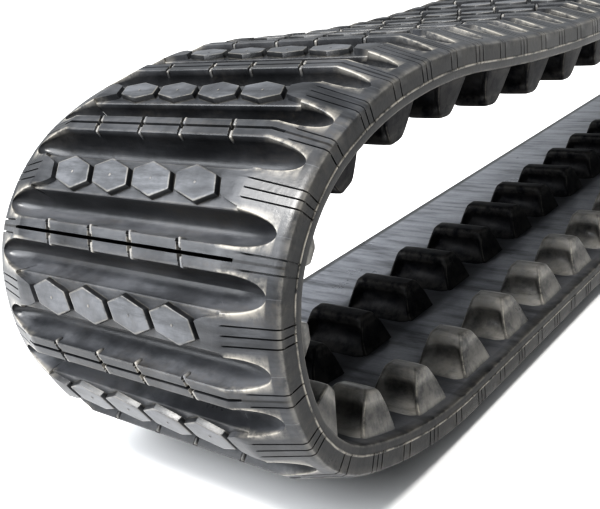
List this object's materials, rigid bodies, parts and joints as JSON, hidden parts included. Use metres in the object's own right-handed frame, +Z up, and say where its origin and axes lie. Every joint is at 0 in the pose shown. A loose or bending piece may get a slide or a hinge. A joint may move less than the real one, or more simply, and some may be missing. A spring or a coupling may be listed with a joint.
{
  "type": "rubber track",
  "caption": "Closed rubber loop track for a compact loader, with hexagon and split tread bars outside and drive and guide lugs inside.",
  "frame": {"origin": "centre of the footprint, on the surface that the tread stands on", "axes": "+X along the loop towards the rear curl, +Y across the belt away from the guide-lug edge, +Z up"},
  "size_m": [2.0177, 0.381, 0.4243],
  "materials": {
    "belt_rubber": "satin moulded",
    "tread_rubber": "satin moulded, dusty",
    "lug_rubber": "satin moulded",
    "cord_ply": "rubberised cord"
  },
  "bodies": {
    "top_run_front": {"top_run_front_carcass": "belt_rubber", "top_run_front_cord_ply": "cord_ply", "top_run_front_hex_bars": "tread_rubber", "top_run_front_split_bars": "tread_rubber", "top_run_front_drive_lugs": "lug_rubber", "top_run_front_guide_lugs": "lug_rubber"},
    "front_curl_upper": {"front_curl_upper_carcass": "belt_rubber", "front_curl_upper_cord_ply": "cord_ply", "front_curl_upper_hex_bars": "tread_rubber", "front_curl_upper_split_bars": "tread_rubber", "front_curl_upper_drive_lugs": "lug_rubber", "front_curl_upper_guide_lugs": "lug_rubber"},
    "front_curl_middle": {"front_curl_middle_carcass": "belt_rubber", "front_curl_middle_cord_ply": "cord_ply", "front_curl_middle_hex_bars": "tread_rubber", "front_curl_middle_split_bars": "tread_rubber", "front_curl_middle_drive_lugs": "lug_rubber", "front_curl_middle_guide_lugs": "lug_rubber"},
    "front_curl_lower": {"front_curl_lower_carcass": "belt_rubber", "front_curl_lower_cord_ply": "cord_ply", "front_curl_lower_hex_bars": "tread_rubber", "front_curl_lower_split_bars": "tread_rubber", "front_curl_lower_drive_lugs": "lug_rubber", "front_curl_lower_guide_lugs": "lug_rubber"},
    "bottom_run": {"bottom_run_carcass": "belt_rubber", "bottom_run_cord_ply": "cord_ply", "bottom_run_hex_bars": "tread_rubber", "bottom_run_split_bars": "tread_rubber", "bottom_run_drive_lugs": "lug_rubber", "bottom_run_guide_lugs": "lug_rubber"},
    "rear_curl_lower": {"rear_curl_lower_carcass": "belt_rubber", "rear_curl_lower_cord_ply": "cord_ply", "rear_curl_lower_hex_bars": "tread_rubber", "rear_curl_lower_split_bars": "tread_rubber", "rear_curl_lower_drive_lugs": "lug_rubber", "rear_curl_lower_guide_lugs": "lug_rubber"},
    "rear_curl_middle": {"rear_curl_middle_carcass": "belt_rubber", "rear_curl_middle_cord_ply": "cord_ply", "rear_curl_middle_hex_bars": "tread_rubber", "rear_curl_middle_split_bars": "tread_rubber", "rear_curl_middle_drive_lugs": "lug_rubber", "rear_curl_middle_guide_lugs": "lug_rubber"},
    "rear_curl_upper": {"rear_curl_upper_carcass": "belt_rubber", "rear_curl_upper_cord_ply": "cord_ply", "rear_curl_upper_hex_bars": "tread_rubber", "rear_curl_upper_split_bars": "tread_rubber", "rear_curl_upper_drive_lugs": "lug_rubber", "rear_curl_upper_guide_lugs": "lug_rubber"},
    "top_run_rear": {"top_run_rear_carcass": "belt_rubber", "top_run_rear_cord_ply": "cord_ply", "top_run_rear_hex_bars": "tread_rubber", "top_run_rear_split_bars": "tread_rubber", "top_run_rear_drive_lugs": "lug_rubber", "top_run_rear_guide_lugs": "lug_rubber"}
  },
  "joints": [
    {"name": "front_foot_bend", "type": "hinge", "parent": "bottom_run", "child": "front_curl_lower", "pos_m": [-0.81178, 0, 0.04909], "axis": [0, 1, 0], "range_deg": [-8, 8], "stiffness_Nm_per_rad": 145.1, "springref_deg": 5.73},
    {"name": "front_nose_lower_bend", "type": "hinge", "parent": "front_curl_lower", "child": "front_curl_middle", "pos_m": [-0.96636, 0, 0.16214], "axis": [0, 1, 0], "range_deg": [-11.3, 11.3], "stiffness_Nm_per_rad": 145.1, "springref_deg": -8.06},
    {"name": "front_nose_upper_bend", "type": "hinge", "parent": "front_curl_middle", "child": "front_curl_upper", "pos_m": [-0.90452, 0, 0.34148], "axis": [0, 1, 0], "range_deg": [-3.68, 3.68], "stiffness_Nm_per_rad": 145.1, "springref_deg": -2.6},
    {"name": "front_shoulder_bend", "type": "hinge", "parent": "front_curl_upper", "child": "top_run_front", "pos_m": [-0.7096, 0, 0.38812], "axis": [0, 1, 0], "range_deg": [-6.93, 6.93], "stiffness_Nm_per_rad": 145.1, "springref_deg": 4.93},
    {"name": "rear_foot_bend", "type": "hinge", "parent": "bottom_run", "child": "rear_curl_lower", "pos_m": [0.81178, 0, 0.04909], "axis": [0, 1, 0], "range_deg": [-8.05, 8.05], "stiffness_Nm_per_rad": 145.1, "springref_deg": -5.73},
    {"name": "rear_nose_lower_bend", "type": "hinge", "parent": "rear_curl_lower", "child": "rear_curl_middle", "pos_m": [0.96636, 0, 0.16214], "axis": [0, 1, 0], "range_deg": [-11.3, 11.3], "stiffness_Nm_per_rad": 145.1, "springref_deg": 8.06},
    {"name": "rear_nose_upper_bend", "type": "hinge", "parent": "rear_curl_middle", "child": "rear_curl_upper", "pos_m": [0.90452, 0, 0.34148], "axis": [0, 1, 0], "range_deg": [-3.68, 3.68], "stiffness_Nm_per_rad": 145.1, "springref_deg": 2.6},
    {"name": "rear_shoulder_bend", "type": "hinge", "parent": "rear_curl_upper", "child": "top_run_rear", "pos_m": [0.7096, 0, 0.38812], "axis": [0, 1, 0], "range_deg": [-6.93, 6.93], "stiffness_Nm_per_rad": 145.1, "springref_deg": -4.93}
  ],
  "couplings": [
    {"joint": "front_nose_lower_bend", "follows": "front_foot_bend", "ratio": -1.4066},
    {"joint": "front_nose_upper_bend", "follows": "front_foot_bend", "ratio": -0.45396},
    {"joint": "front_shoulder_bend", "follows": "front_foot_bend", "ratio": 0.86057},
    {"joint": "rear_foot_bend", "follows": "front_foot_bend", "ratio": -1},
    {"joint": "rear_nose_lower_bend", "follows": "front_foot_bend", "ratio": 1.4066},
    {"joint": "rear_nose_upper_bend", "follows": "front_foot_bend", "ratio": 0.45396},
    {"joint": "rear_shoulder_bend", "follows": "front_foot_bend", "ratio": -0.86057}
  ]
}
